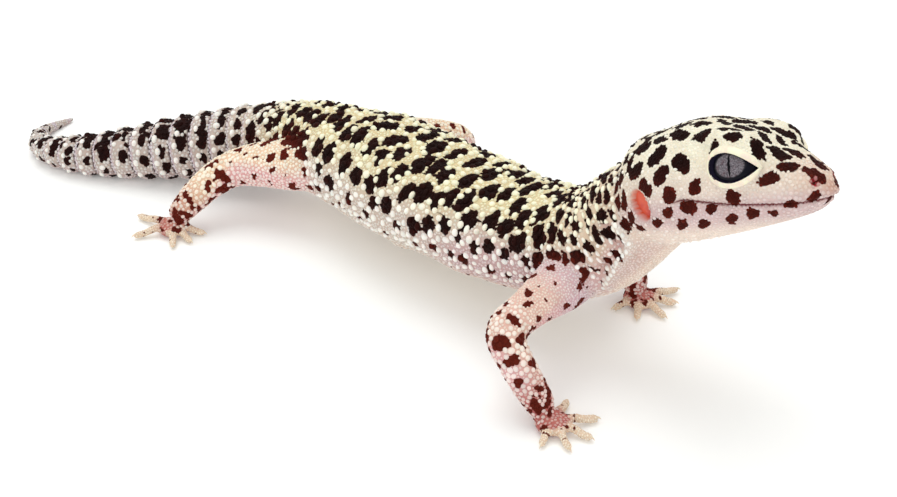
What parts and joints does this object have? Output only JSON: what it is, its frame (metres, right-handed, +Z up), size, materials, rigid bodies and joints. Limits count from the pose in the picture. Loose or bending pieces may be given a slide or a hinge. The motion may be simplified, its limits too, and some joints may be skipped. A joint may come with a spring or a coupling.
{
  "type": "leopard gecko",
  "caption": "Life-size still model of a standing leopard gecko, head raised, fat ringed tail laid on the floor and curled at its tip.",
  "frame": {"origin": "on the floor under the middle of the bounding box", "axes": "+X the way the animal faces, from tail to snout, +Y its left side, +Z up"},
  "size_m": [0.1734, 0.0667, 0.0482],
  "materials": {
    "skin": "matt scaly hide, cream with dark brown spots",
    "eye": "wet and glossy, grey iris with a slit pupil",
    "membrane": "thin smooth skin, orange-red",
    "claw": "horn, pale and slightly clear"
  },
  "bodies": {
    "root": {"head": "skin", "lower_jaw": "skin", "eye_left": "eye", "eye_right": "eye", "eardrum_left": "membrane", "eardrum_right": "membrane", "neck": "skin", "trunk": "skin", "tail_base": "skin", "tail_middle": "skin", "tail_end": "skin", "front_right_leg_upper": "skin", "front_right_leg_lower": "skin", "front_right_foot": "skin", "front_left_leg_upper": "skin", "front_left_leg_lower": "skin", "front_left_foot": "skin", "hind_right_leg_upper": "skin", "hind_right_leg_lower": "skin", "hind_right_foot": "skin", "hind_left_leg_upper": "skin", "hind_left_leg_lower": "skin", "hind_left_foot": "skin"}
  },
  "joints": []
}
